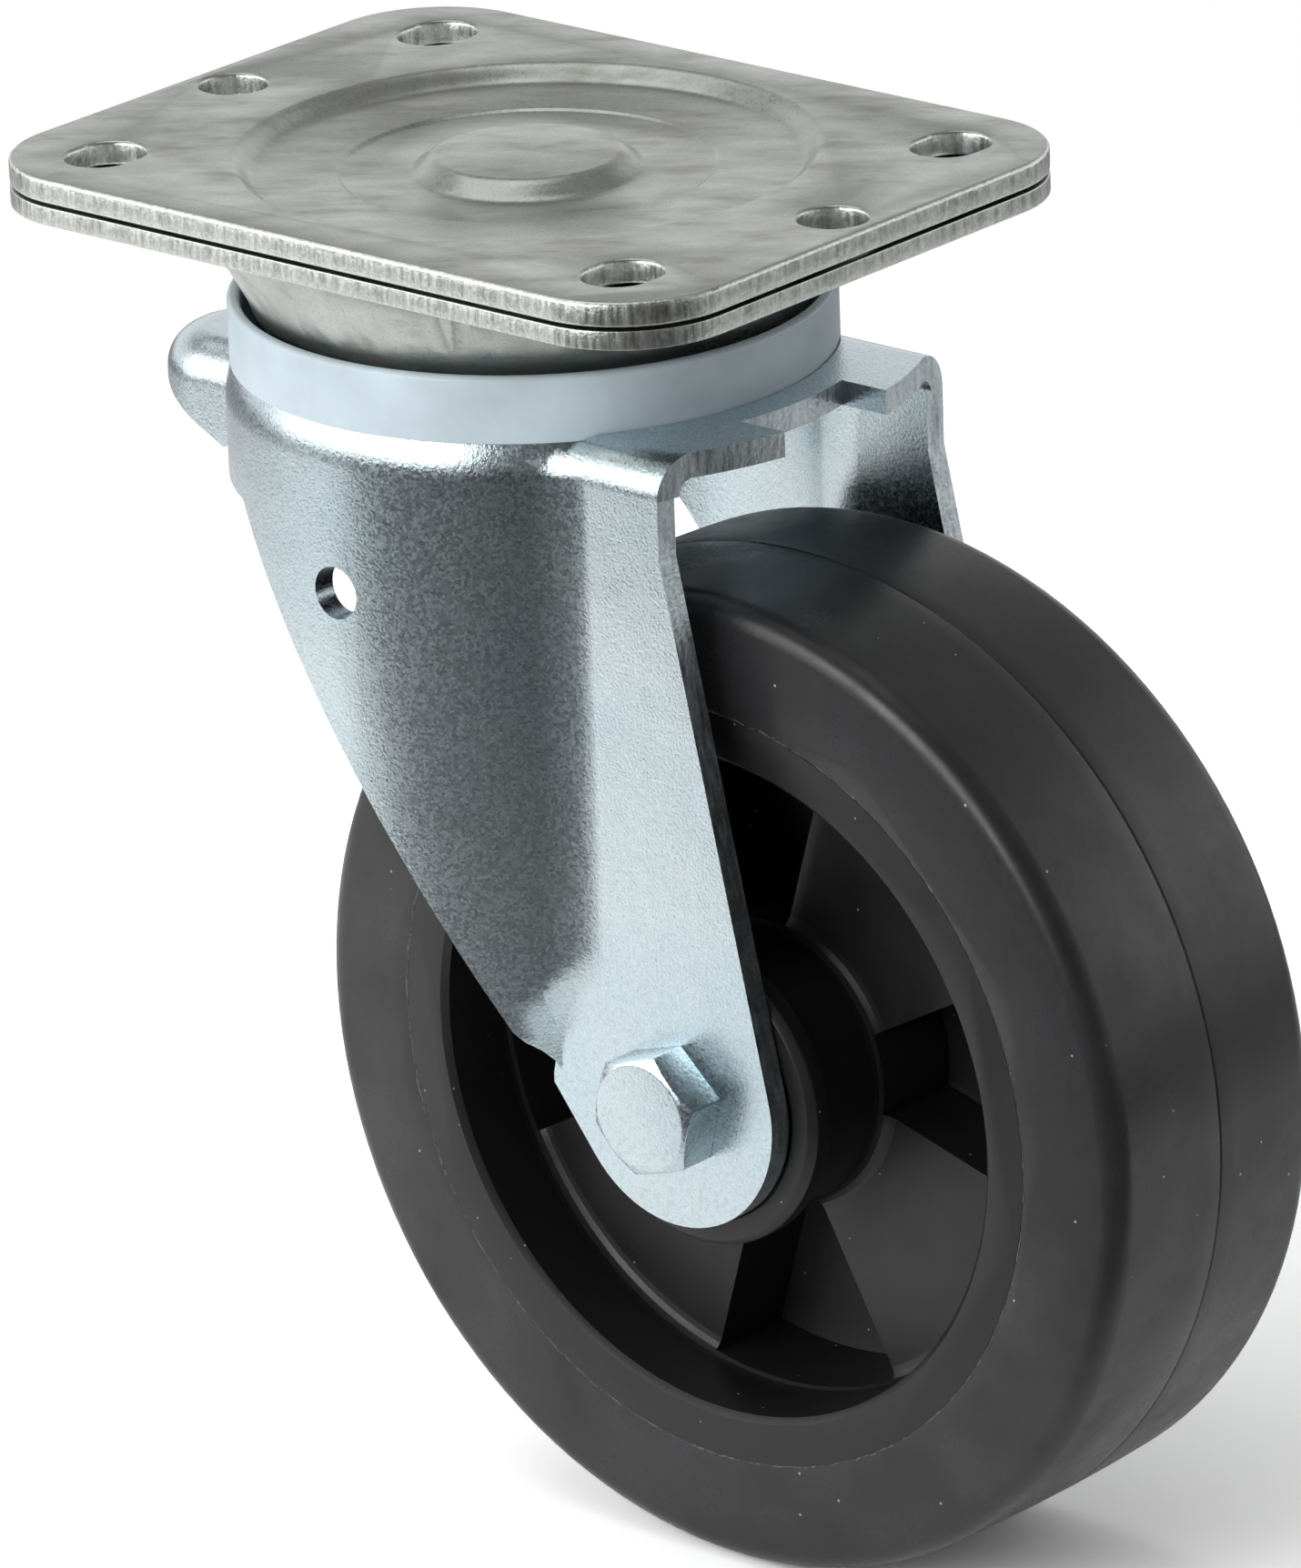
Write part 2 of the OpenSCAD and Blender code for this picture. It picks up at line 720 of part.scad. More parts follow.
// One pocket between two panels, drawn about the wheel's axis
module pocket_outline() {
    half_angle = 90 / panel_count;
    half_wall = web_t / 2;
    intersection() {
        difference() {
            circle(rim_inner_r - root_step);
            circle(hub_r + root_step);
        }
        rotate([0, 0, -half_angle]) translate([0, half_wall]) square(through);
        rotate([0, 0, half_angle]) translate([0, -half_wall - through]) square(through);
    }
}

module pockets(angle) {
    for (i = [0 : panel_count - 1]) rotate([0, 0, angle + i * 360 / panel_count]) pocket_outline();
}

// Outline of the bond between rim and tyre at radius r, from the far side to the near side
function bond_line(r) = [
    [r, -rim_out],
    [r - bond_step, -rim_out + 2 * bond_step],
    [r - bond_step, rim_out - 2 * bond_step],
    [r, rim_out]
];

module wheel_centre() {
    pocket_floor = web_out - web_t;
    near_angle = panel_angle + 90;
    edge = 1;
    bore_r = sleeve_out_r + press_gap;
    color(POLYAMIDE) along_axle() difference() {
        rotate_extrude() polygon(concat(
            [[bore_r, seal_in], [bore_r, -seal_in], [hub_r - edge, -seal_in], [hub_r, -seal_in + edge]],
            arc(hub_r + web_fillet_r, -web_out - web_fillet_r, web_fillet_r, 180, 90, 4),
            arc(rim_inner_r - web_fillet_r, -web_out - web_fillet_r, web_fillet_r, 90, 0, 4),
            [[rim_inner_r, -rim_out + edge], [rim_inner_r + edge, -rim_out]],
            bond_line(bond_r),
            [[rim_inner_r + edge, rim_out], [rim_inner_r, rim_out - edge]],
            arc(rim_inner_r - web_fillet_r, web_out + web_fillet_r, web_fillet_r, 0, -90, 4),
            arc(hub_r + web_fillet_r, web_out + web_fillet_r, web_fillet_r, -90, -180, 4),
            [[hub_r, seal_in - edge], [hub_r - edge, seal_in]]
        ));
        translate([0, 0, -pocket_floor]) linear_extrude(through) pockets(near_angle + 180 / panel_count);
        translate([0, 0, pocket_floor - through]) linear_extrude(through) pockets(near_angle);
    }
}

// Points of the crowned tread from x to x_end across the wheel
function crown_line(x, x_end, steps = 6) =
    let (crown_r = (pow(tread_half, 2) + pow(tread_crown, 2)) / (2 * tread_crown))
    [for (i = [0 : steps]) let (u = x + (x_end - x) * i / steps)
        [wheel_r - crown_r + sqrt(pow(crown_r, 2) - u * u), u]];

module tyre() {
    shoulder_from = wheel_r - tread_crown - tyre_shoulder_r;
    side_r = bond_r + side_band;
    color(RUBBER) along_axle() rotate_extrude() polygon(concat(
        bond_line(bond_r + press_gap),
        [[side_r, rim_out]],
        arc(shoulder_from, tread_half, tyre_shoulder_r, 90, 10, 5),
        crown_line(tread_half, parting_depth),
        [[wheel_r - parting_depth, 0]],
        crown_line(-parting_depth, -tread_half),
        arc(shoulder_from, -tread_half, tyre_shoulder_r, -10, -90, 5),
        [[side_r, -rim_out]]
    ));
}

module bearing_sleeve() {
    color(STEEL) along_axle() difference() {
        cylinder(r = sleeve_out_r, h = sleeve_length, center = true);
        cylinder(r = sleeve_in_r, h = sleeve_length + 2, center = true);
    }
}

module bearing_rollers() {
    color(STEEL) along_axle() for (i = [0 : roller_count - 1])
        rotate([0, 0, i * 360 / roller_count]) translate([roller_pitch_r, 0, 0])
            cylinder(r = roller_d / 2 - roller_clearance, h = roller_length, center = true, $fn = 32);
}

module roller_cage() {
    gap = 0.5;
    pocket_gap = 0.15;
    pocket_length = roller_length + 2 * pocket_gap;
    length = pocket_length + 2 * cage_rim;
    color(NYLON) along_axle() difference() {
        cylinder(r = sleeve_in_r - gap, h = length, center = true);
        cylinder(r = tube_r + gap, h = length + 2, center = true);
        for (i = [0 : roller_count - 1])
            rotate([0, 0, i * 360 / roller_count]) translate([roller_pitch_r, 0, 0])
                cylinder(r = roller_d / 2 + pocket_gap, h = pocket_length, center = true, $fn = 32);
    }
}

// Cap on the hub's end: a spigot in the hub's bore and a collar beside the leg
module hub_seal() {
    edge = 1.2;
    recess = 1;
    recess_from = seal_r - seal_t;
    inner_r = tube_r + tube_clearance;
    color(POLYAMIDE) along_axle() rotate_extrude() polygon([
        [inner_r, sleeve_length / 2],
        [sleeve_out_r, sleeve_length / 2],
        [sleeve_out_r, seal_in],
        [seal_r, seal_in],
        [seal_r, seal_out - edge],
        [seal_r - edge, seal_out],
        [recess_from, seal_out],
        [recess_from - recess, seal_out - recess],
        [inner_r + 2 * recess, seal_out - recess],
        [inner_r + recess, seal_out],
        [inner_r, seal_out]
    ]);
}

module near_hub_seal() {
    hub_seal();
}

module far_hub_seal() {
    mirror([1, 0, 0]) hub_seal();
}

top_plate();
race_plate();
king_pin();
lower_race();
upper_balls();
lower_balls();
fork();
dust_ring();
axle_bolt();
nut_washer();
axle_nut();
nut_lock_insert();
axle_tube();
wheel_centre();
tyre();
bearing_sleeve();
bearing_rollers();
roller_cage();
near_hub_seal();
far_hub_seal();
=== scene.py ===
"""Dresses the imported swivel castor: softened edges, finishes, studio stage and camera."""

import json
import math

import bpy
from bpy.props import FloatProperty, FloatVectorProperty, IntProperty, PointerProperty
from mathutils import Matrix, Vector

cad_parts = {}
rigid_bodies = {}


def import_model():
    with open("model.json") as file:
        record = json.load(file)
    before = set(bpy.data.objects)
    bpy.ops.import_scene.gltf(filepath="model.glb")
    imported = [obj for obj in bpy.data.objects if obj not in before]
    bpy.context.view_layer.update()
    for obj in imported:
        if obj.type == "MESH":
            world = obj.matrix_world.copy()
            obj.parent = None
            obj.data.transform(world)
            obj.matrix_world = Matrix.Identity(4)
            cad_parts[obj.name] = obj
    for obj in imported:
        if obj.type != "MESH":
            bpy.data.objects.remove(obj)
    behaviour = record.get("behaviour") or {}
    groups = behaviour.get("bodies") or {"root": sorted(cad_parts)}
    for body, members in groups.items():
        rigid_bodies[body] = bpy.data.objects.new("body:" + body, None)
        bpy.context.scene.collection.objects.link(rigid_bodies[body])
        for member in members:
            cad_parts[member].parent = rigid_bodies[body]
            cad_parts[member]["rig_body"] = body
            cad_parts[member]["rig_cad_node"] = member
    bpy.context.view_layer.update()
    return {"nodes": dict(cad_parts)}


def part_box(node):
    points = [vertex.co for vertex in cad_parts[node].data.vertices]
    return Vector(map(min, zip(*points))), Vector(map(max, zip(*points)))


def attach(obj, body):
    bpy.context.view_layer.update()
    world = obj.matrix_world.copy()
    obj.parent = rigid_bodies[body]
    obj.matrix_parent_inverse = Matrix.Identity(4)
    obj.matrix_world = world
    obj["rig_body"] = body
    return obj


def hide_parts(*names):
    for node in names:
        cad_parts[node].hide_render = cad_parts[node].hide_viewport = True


bl_info = {
    "name": "Swivel Castor",
    "version": (1, 0, 0),
    "blender": (4, 5, 0),
    "location": "3D View > Sidebar > Castor",
    "description": "Dresses a heavy-duty swivel castor and sets its studio stage",
    "category": "Object",
}

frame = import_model()
NODES = frame["nodes"]
MM = 0.001
MERGE = 0.03 * MM
JOIN_ANGLE = math.radians(0.5)
WEB_SHARE = 0.6
PLATE_RIM_R = 53 * MM
FRONT_Y = 30 * MM
HEAD_FOOT_Z = -35 * MM
FLAT_MARGIN = 2 * MM
FLAT_CUTS = 2 * MM
FLOOR_SIZE = 8
FLOOR_GAP = 0.2 * MM
SENSOR_WIDTH = 36
CLIP_NEAR, CLIP_FAR = 0.05, 20
WHEEL_LOW, WHEEL_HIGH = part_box("tyre")
AXLE = (WHEEL_LOW + WHEEL_HIGH) / 2
FLOOR_Z = WHEEL_LOW.z
BOND_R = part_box("wheel_centre")[1].z - AXLE.z
BOND_WOBBLE = 0.3 * MM
LEG_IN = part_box("axle_tube")[1].x
FLAT_R = AXLE.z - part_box("fork")[0].z + FLAT_MARGIN


class CastorShape(bpy.types.PropertyGroup):
    """Sizes of the softened edges"""

    plate_edge: FloatProperty(
        name="Plate edge",
        description="Rounding of the plates' cut edges",
        default=0.8 * MM,
        unit="LENGTH",
    )
    sheet_edge: FloatProperty(
        name="Sheet edge",
        description="Rounding of the fork's cut edges",
        default=0.6 * MM,
        unit="LENGTH",
    )
    flat_run: FloatProperty(
        name="Flat run",
        description="Length over which the fork's drum runs down to the flat of each leg's end",
        default=5.0 * MM,
        unit="LENGTH",
    )
    panel_edge: FloatProperty(
        name="Panel edge",
        description="Rounding of the web panels round the wheel's pockets",
        default=2.2 * MM,
        unit="LENGTH",
    )
    moulded_edge: FloatProperty(
        name="Moulded edge",
        description="Rounding of the wheel's other edges",
        default=0.4 * MM,
        unit="LENGTH",
    )
    turned_edge: FloatProperty(
        name="Turned edge",
        description="Rounding of bolt, nut, ring and seal edges",
        default=0.25 * MM,
        unit="LENGTH",
    )
    edge_steps: IntProperty(
        name="Edge steps",
        description="Faces across a rounded edge",
        default=3,
    )


class CastorFinish(bpy.types.PropertyGroup):
    """Colours of the finishes"""

    fork_zinc: FloatVectorProperty(
        name="Fork zinc",
        description="Bright bluish zinc of fork, bolt and nut",
        default=(0.60, 0.675, 0.70),
        subtype="COLOR",
    )
    plate_zinc: FloatVectorProperty(
        name="Plate zinc",
        description="Handled, warmer zinc of the mounting plates",
        default=(0.42, 0.435, 0.41),
        subtype="COLOR",
    )
    ring_plastic: FloatVectorProperty(
        name="Ring plastic",
        description="Grey-blue plastic of the dust ring",
        default=(0.55, 0.65, 0.71),
        subtype="COLOR",
    )
    wheel_plastic: FloatVectorProperty(
        name="Wheel plastic",
        description="Black plastic of the wheel centre and hub seals",
        default=(0.009, 0.0085, 0.0085),
        subtype="COLOR",
    )
    tyre_rubber: FloatVectorProperty(
        name="Tyre rubber",
        description="Black rubber of the tyre",
        default=(0.016, 0.016, 0.0175),
        subtype="COLOR",
    )
    steel: FloatVectorProperty(
        name="Bearing steel",
        description="Ground steel of balls, rollers, races and pins",
        default=(0.52, 0.53, 0.55),
        subtype="COLOR",
    )
    nylon: FloatVectorProperty(
        name="Nylon",
        description="Natural nylon of roller cage and lock insert",
        default=(0.70, 0.72, 0.70),
        subtype="COLOR",
    )


class CastorStage(bpy.types.PropertyGroup):
    """Floor, lights and camera"""

    floor_colour: FloatVectorProperty(
        name="Floor",
        description="Pale studio floor",
        default=(0.93, 0.93, 0.93),
        subtype="COLOR",
    )
    white_boost: FloatProperty(
        name="White boost",
        description="How much brighter than it is lit the floor shows to the camera",
        default=1.9,
    )
    # Painted reflection: how much brighter than it is lit the floor looks, but only in bare metal.
    painted_mirror_boost: FloatProperty(
        name="Mirror boost",
        description="How much brighter than it is lit the floor shows in bare metal",
        default=1.45,
    )
    # Painted reflection: the dimmer room overhead is seen only in bare metal.
    painted_ceiling_shade: FloatProperty(
        name="Ceiling shade",
        description="Brightness of the room overhead, as bare metal mirrors it",
        default=0.35,
    )
    # Painted reflection: the darker room and floor on the camera's side are seen only in bare metal.
    painted_front_shade: FloatProperty(
        name="Front shade",
        description="Brightness of the room and floor on the camera's side, as bare metal mirrors them",
        default=0.16,
    )
    fill_light: FloatProperty(
        name="Fill light",
        description="Strength of the even light from all round",
        default=0.35,
    )
    azimuth: FloatProperty(
        name="Azimuth",
        description="Angle of the camera round the swivel axis",
        default=math.radians(131.13),
        subtype="ANGLE",
    )
    elevation: FloatProperty(
        name="Elevation",
        description="Angle of the camera above the plate",
        default=math.radians(20.21),
        subtype="ANGLE",
    )
    roll: FloatProperty(
        name="Roll",
        description="Turn of the camera about its view",
        default=math.radians(-2.09),
        subtype="ANGLE",
    )
    distance: FloatProperty(
        name="Distance",
        description="Distance of the camera from its target",
        default=1.9545,
        unit="LENGTH",
    )
    lens: FloatProperty(
        name="Lens",
        description="Focal length on a 36 mm sensor, in millimetres",
        default=286.35,
    )
    target_right: FloatProperty(
        name="Target right",
        description="Sideways place of the camera's target",
        default=15.37 * MM,
        unit="LENGTH",
    )
    target_height: FloatProperty(
        name="Target height",
        description="Height of the camera's target",
        default=-104.78 * MM,
        unit="LENGTH",
    )


def deselect_all():
    bpy.ops.object.select_all(action="DESELECT")


def activate(obj):
    deselect_all()
    obj.select_set(True)
    bpy.context.view_layer.objects.active = obj


def merged_copy(cad_name, name):
    """A copy of a CAD node with its loose triangles merged and its flat faces joined."""
    activate(NODES[cad_name])
    bpy.ops.object.duplicate()
    piece = bpy.context.view_layer.objects.active
    piece.name = name
    piece.data.name = name
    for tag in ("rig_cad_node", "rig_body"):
        if tag in piece:
            del piece[tag]
    activate(piece)
    bpy.ops.object.mode_set(mode="EDIT")
    bpy.ops.mesh.select_all(action="SELECT")
    bpy.ops.mesh.customdata_custom_splitnormals_clear()
    bpy.ops.mesh.remove_doubles(threshold=MERGE)
    bpy.ops.mesh.dissolve_degenerate(threshold=MERGE)
    bpy.ops.mesh.dissolve_limited(angle_limit=JOIN_ANGLE)
    bpy.ops.object.mode_set(mode="OBJECT")
    return piece


def round_edges(piece, width, steps, angle=35, wanted=None):
    """Rounds the edges sharper than an angle in degrees, or only those whose two ends are wanted."""
    activate(piece)
    rounding = piece.modifiers.new("rounding", "BEVEL")
    rounding.width = width
    rounding.segments = steps
    rounding.limit_method = "ANGLE"
    rounding.angle_limit = math.radians(angle)
    if wanted:
        group = piece.vertex_groups.new(name="wanted")
        group.add([v.index for v in piece.data.vertices if wanted(v.co)], 1.0, "REPLACE")
        rounding.limit_method = "VGROUP"
        rounding.vertex_group = group.name
    bpy.ops.object.modifier_apply(modifier=rounding.name)
    if wanted:
        piece.vertex_groups.clear()


def soften(piece, width, steps, angle=35):
    """Rounds the sharp edges of a piece and shades the rest smooth."""
    round_edges(piece, width, steps, angle)
    bpy.ops.object.shade_smooth_by_angle(angle=math.radians(angle))


def even_shading(piece):
    """Lets the large faces of a piece rule the shading, so that a flat beside a bend stays flat."""
    activate(piece)
    bpy.ops.object.modifier_add(type="WEIGHTED_NORMAL")
    weighted = piece.modifiers[-1]
    weighted.keep_sharp = True
    bpy.ops.object.modifier_apply(modifier=weighted.name)


def stand_in(piece, cad_name):
    """Puts a dressed copy in a CAD node's place, on the node's own body."""
    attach(piece, NODES[cad_name]["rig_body"])
    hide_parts(cad_name)


def start_finish(name):
    """A new material with its node tree, its shader and the piece's own coordinates."""
    material = bpy.data.materials.new(name)
    material.use_nodes = True
    tree = material.node_tree
    shader = tree.nodes["Principled BSDF"]
    place = tree.nodes.new("ShaderNodeTexCoord").outputs["Object"]
    return material, tree, shader, place


def add_node(tree, kind, inputs=None, **settings):
    """Adds a node; an input is a value, or another node's output to join."""
    made = tree.nodes.new(kind)
    for name, value in settings.items():
        setattr(made, name, value)
    for name, value in (inputs or {}).items():
        if isinstance(value, bpy.types.NodeSocket):
            tree.links.new(value, made.inputs[name])
        else:
            made.inputs[name].default_value = value
    return made


def stretched(tree, place, scale, turn=(0, 0, 0)):
    """Coordinates turned by angles in degrees and scaled, for streaks and scratches."""
    angles = [math.radians(a) for a in turn]
    turned = add_node(tree, "ShaderNodeMapping", {"Vector": place, "Rotation": angles}).outputs[0]
    return add_node(tree, "ShaderNodeMapping", {"Vector": turned, "Scale": scale}).outputs[0]


def clouds(tree, place, size, detail=4.0, contrast=0.55):
    """Soft noise with features of about the given size in millimetres."""
    settings = {"Vector": place, "Scale": 1 / (size * MM), "Detail": detail, "Roughness": contrast}
    return add_node(tree, "ShaderNodeTexNoise", settings).outputs[0]


def cells(tree, place, size):
    """Random grey in cells of a size in millimetres, and the distance to each cell's middle."""
    made = add_node(tree, "ShaderNodeTexVoronoi", {"Vector": place, "Scale": 1 / (size * MM)})
    grey = add_node(tree, "ShaderNodeRGBToBW", {"Color": made.outputs["Color"]}).outputs[0]
    return grey, made.outputs["Distance"]


def span(tree, value, low, high, to_low=0.0, to_high=1.0):
    """Maps a range of a value to another range, and stops at its ends."""
    inputs = {"Value": value, "From Min": low, "From Max": high, "To Min": to_low, "To Max": to_high}
    return add_node(tree, "ShaderNodeMapRange", inputs).outputs[0]


def product(tree, a, b):
    return add_node(tree, "ShaderNodeMath", {0: a, 1: b}, operation="MULTIPLY").outputs[0]


def total(tree, a, b):
    return add_node(tree, "ShaderNodeMath", {0: a, 1: b}, operation="ADD").outputs[0]


def colour_of(value):
    return (*value, 1.0)


def shaded(colour, factor):
    return tuple(min(1.0, c * factor) for c in colour)


def tinted(colour, tint):
    return tuple(a * b for a, b in zip(colour, tint))


def blend_colours(tree, share, low, high):
    """Mixes two colours or colour outputs by a share."""
    made = add_node(tree, "ShaderNodeMix", data_type="RGBA")
    sides = {0: share, 6: low, 7: high}
    for index, value in sides.items():
        if isinstance(value, bpy.types.NodeSocket):
            tree.links.new(value, made.inputs[index])
        elif index == 0:
            made.inputs[index].default_value = value
        else:
            made.inputs[index].default_value = colour_of(value)
    return made.outputs[2]


def relief(tree, height, depth, under=None):
    """Bump of the given depth in millimetres, on top of another bump if there is one."""
    inputs = {"Height": height, "Distance": depth * MM, "Strength": 1.0}
    if under is not None:
        inputs["Normal"] = under
    return add_node(tree, "ShaderNodeBump", inputs).outputs[0]


def scratches(tree, place, length, width, turn, share):
    """Thin light lines of about the given length and width in millimetres; share sets how many."""
    drawn = stretched(tree, place, (1 / (length * MM), 1 / (width * MM), 1 / (width * MM)), turn)
    lines = add_node(tree, "ShaderNodeTexNoise", {"Vector": drawn, "Scale": 1.0, "Detail": 1.0}).outputs[0]
    return span(tree, lines, 0.78 - share, 0.80 - share)


def along(tree, place, direction):
    """Distance of a place along a direction."""
    inputs = {0: place, 1: direction}
    return add_node(tree, "ShaderNodeVectorMath", inputs, operation="DOT_PRODUCT").outputs["Value"]


def from_axle(tree, place):
    """Distance of a place from the wheel's axle."""
    settings = {"Vector": place, "Location": (0, -AXLE.y, -AXLE.z), "Scale": (0, 1, 1)}
    arm = add_node(tree, "ShaderNodeMapping", settings).outputs[0]
    return add_node(tree, "ShaderNodeVectorMath", {0: arm}, operation="LENGTH").outputs["Value"]


def blend_values(tree, share, low, high):
    """Mixes two values or value outputs by a share."""
    return add_node(tree, "ShaderNodeMix", {0: share, 2: low, 3: high}).outputs[0]


def finish_shader(tree, shader, colour, roughness, normal):
    for name, value in (("Base Color", colour), ("Roughness", roughness), ("Normal", normal)):
        tree.links.new(value, shader.inputs[name])


def bright_zinc(name, colour):
    """Bluish zinc plating: fine mottled grain, faint clouds of tint, short scratches."""
    material, tree, shader, place = start_finish(name)
    tint = clouds(tree, place, 40, 3, 0.5)
    grain = clouds(tree, place, 0.5, 2, 0.6)
    flecks = cells(tree, place, 0.45)[0]
    lines = total(
        tree,
        scratches(tree, place, 6, 0.12, (20, 35, 60), 0.055),
        scratches(tree, place, 4, 0.10, (70, -20, 15), 0.05),
    )
    base = blend_colours(tree, span(tree, tint, 0.35, 0.65), tinted(colour, (0.90, 0.96, 1.0)), colour)
    flecked = blend_colours(tree, span(tree, flecks, 0.45, 0.15, 0.0, 0.35), base, shaded(colour, 0.5))
    scored = blend_colours(tree, product(tree, lines, 0.6), flecked, shaded(colour, 1.4))
    rough = span(tree, flecks, 0.2, 0.8, 0.20, 0.30)
    bumped = relief(tree, grain, 0.055)
    finish_shader(tree, shader, scored, rough, relief(tree, tint, 0.5, bumped))
    shader.inputs["Metallic"].default_value = 1.0
    return material


def sheared_zinc(name, colour):
    """Cut edge of a plated sheet: bright, grainy and streaked across the sheet."""
    material, tree, shader, place = start_finish(name)
    grain = clouds(tree, place, 0.7, 3)
    streak = clouds(tree, stretched(tree, place, (1.0, 1.0, 0.12)), 0.9, 3)
    tone = span(tree, total(tree, grain, streak), 0.75, 1.25)
    base = blend_colours(tree, tone, shaded(colour, 0.8), shaded(colour, 1.25))
    rough = span(tree, streak, 0.3, 0.7, 0.28, 0.48)
    finish_shader(tree, shader, base, rough, relief(tree, total(tree, grain, streak), 0.08))
    shader.inputs["Metallic"].default_value = 1.0
    return material


def handled_zinc(name, colour):
    """Dull zinc of the plates: grey clouds, brownish rubbed smudges, fine scratches."""
    material, tree, shader, place = start_finish(name)
    patches = clouds(tree, place, 24, 6, 0.6)
    smudges = clouds(tree, stretched(tree, place, (0.35, 1, 1), (0, 0, 52)), 7, 6, 0.68)
    grain = clouds(tree, place, 0.6, 3, 0.65)
    light_lines = total(
        tree,
        scratches(tree, place, 14, 0.18, (0, 0, 25), 0.04),
        scratches(tree, place, 10, 0.16, (0, 0, -50), 0.035),
    )
    dark_lines = scratches(tree, place, 18, 0.3, (0, 0, 60), 0.05)
    base = blend_colours(tree, span(tree, patches, 0.35, 0.65), shaded(colour, 0.84), shaded(colour, 1.1))
    soil = tinted(colour, (0.56, 0.51, 0.44))
    soiled = blend_colours(tree, span(tree, smudges, 0.52, 0.72, 0.0, 0.6), base, soil)
    flecked = blend_colours(tree, span(tree, grain, 0.5, 0.3, 0.0, 0.4), soiled, shaded(colour, 0.5))
    scored = blend_colours(tree, product(tree, dark_lines, 0.4), flecked, tinted(colour, (0.5, 0.46, 0.4)))
    rubbed = blend_colours(tree, product(tree, light_lines, 0.45), scored, shaded(colour, 1.5))
    smeared = span(tree, smudges, 0.35, 0.65, 0.24, 0.42)
    rough = total(tree, smeared, span(tree, grain, 0.3, 0.7, -0.03, 0.04))
    bumped = relief(tree, grain, 0.03)
    finish_shader(tree, shader, rubbed, rough, relief(tree, patches, 0.18, bumped))
    shader.inputs["Metallic"].default_value = 1.0
    return material


def ground_steel(name, colour):
    """Ground steel with a fine turned grain."""
    material, tree, shader, place = start_finish(name)
    grain = clouds(tree, stretched(tree, place, (0.2, 1, 1)), 0.4, 3)
    film = clouds(tree, place, 8, 4)
    base = blend_colours(tree, film, shaded(colour, 0.8), shaded(colour, 1.1))
    rough = span(tree, film, 0.3, 0.7, 0.16, 0.30)
    finish_shader(tree, shader, base, rough, relief(tree, grain, 0.006))
    shader.inputs["Metallic"].default_value = 1.0
    return material


def moulded_plastic(name, colour, gloss, dust):
    """Moulded plastic: faint grain, uneven gloss and a little pale dust."""
    material, tree, shader, place = start_finish(name)
    film = clouds(tree, place, 18, 5)
    grain = clouds(tree, place, 0.5, 3)
    pick, middle = cells(tree, place, 3.2)
    specks = product(tree, span(tree, middle, 0.07, 0.04), span(tree, pick, 0.60, 0.62))
    base = blend_colours(tree, film, shaded(colour, 0.75), shaded(colour, 1.25))
    dusty = blend_colours(tree, product(tree, specks, dust), base, (0.5, 0.5, 0.5))
    rough = span(tree, film, 0.3, 0.7, gloss - 0.06, gloss + 0.08)
    finish_shader(tree, shader, dusty, rough, relief(tree, grain, 0.02))
    return material


def black_rubber(name, colour):
    """Smooth black rubber: cloudy bloom, fine skin, pale dust and a rough line where it is bonded on."""
    material, tree, shader, place = start_finish(name)
    bloom = clouds(tree, place, 26, 6, 0.6)
    skin = clouds(tree, place, 1.2, 4)
    rubs = scratches(tree, place, 16, 0.5, (10, 30, 0), 0.03)
    pick, middle = cells(tree, place, 4.0)
    specks = product(tree, span(tree, middle, 0.07, 0.04), span(tree, pick, 0.58, 0.60))
    wobble = span(tree, clouds(tree, place, 3, 4), 0.3, 0.7, -BOND_WOBBLE, BOND_WOBBLE)
    radius = total(tree, from_axle(tree, place), wobble)
    off_bond = total(tree, radius, -BOND_R)
    apart = add_node(tree, "ShaderNodeMath", {0: off_bond}, operation="ABSOLUTE").outputs[0]
    bond = product(tree, span(tree, apart, 0.35 * MM, 0.15 * MM), span(tree, skin, 0.42, 0.55))
    base = blend_colours(tree, span(tree, bloom, 0.35, 0.65), shaded(colour, 0.6), shaded(colour, 1.7))
    rubbed = blend_colours(tree, product(tree, rubs, 0.25), base, shaded(colour, 2.6))
    edged = blend_colours(tree, product(tree, bond, 0.5), rubbed, shaded(colour, 9))
    dusty = blend_colours(tree, product(tree, specks, 0.6), edged, (0.55, 0.55, 0.54))
    sheen = span(tree, bloom, 0.35, 0.65, 0.42, 0.24)
    rough = total(tree, sheen, span(tree, skin, 0.3, 0.7, -0.03, 0.03))
    finish_shader(tree, shader, dusty, rough, relief(tree, bond, 0.2, relief(tree, skin, 0.02)))
    return material


def paint(obj, *materials):
    obj.data.materials.clear()
    for material in materials:
        obj.data.materials.append(material)


class CASTOR_OT_plates(bpy.types.Operator):
    """Dresses the top plate and the race plate"""

    bl_idname = "castor.plates"
    bl_label = "Mounting Plates"

    def execute(self, context):
        shape = context.scene.castor_shape
        finish = context.scene.castor_finish
        handled = handled_zinc("handled_zinc", finish.plate_zinc)
        cut = sheared_zinc("sheared_plate", shaded(finish.plate_zinc, 1.5))
        cup = handled_zinc("cup_zinc", shaded(finish.plate_zinc, 1.1))
        plates = (("top_plate", "worn_zinc", handled), ("race_plate", "zinc_plated", cup))
        for cad_node, slot, flat in plates:
            piece = merged_copy(cad_node, "dressed_" + cad_node)
            paint(piece, flat, cut)
            for face in piece.data.polygons:
                steep = abs(face.normal.z) < 0.2
                outside = Vector((face.center.x, face.center.y)).length > PLATE_RIM_R
                face.material_index = 1 if steep and outside else 0
            soften(piece, shape.plate_edge, shape.edge_steps)
            stand_in(piece, cad_node)
        return {"FINISHED"}


def is_cut_edge(face):
    """Whether a fork face is a cut edge of the sheet: below the drum, or in front on head and legs."""
    middle, normal = face.center, face.normal
    on_leg = abs(middle.x) > LEG_IN and middle.y > FRONT_Y
    below_drum = normal.z < -0.5 and middle.z < HEAD_FOOT_Z
    head_front = abs(normal.z) < 0.3 and middle.z > HEAD_FOOT_Z and middle.y > FRONT_Y
    return (on_leg and abs(normal.x) < 0.3) or (head_front and abs(normal.x) < 0.8) or below_drum


def axle_distance(place):
    return math.hypot(place.y - AXLE.y, place.z - AXLE.z)


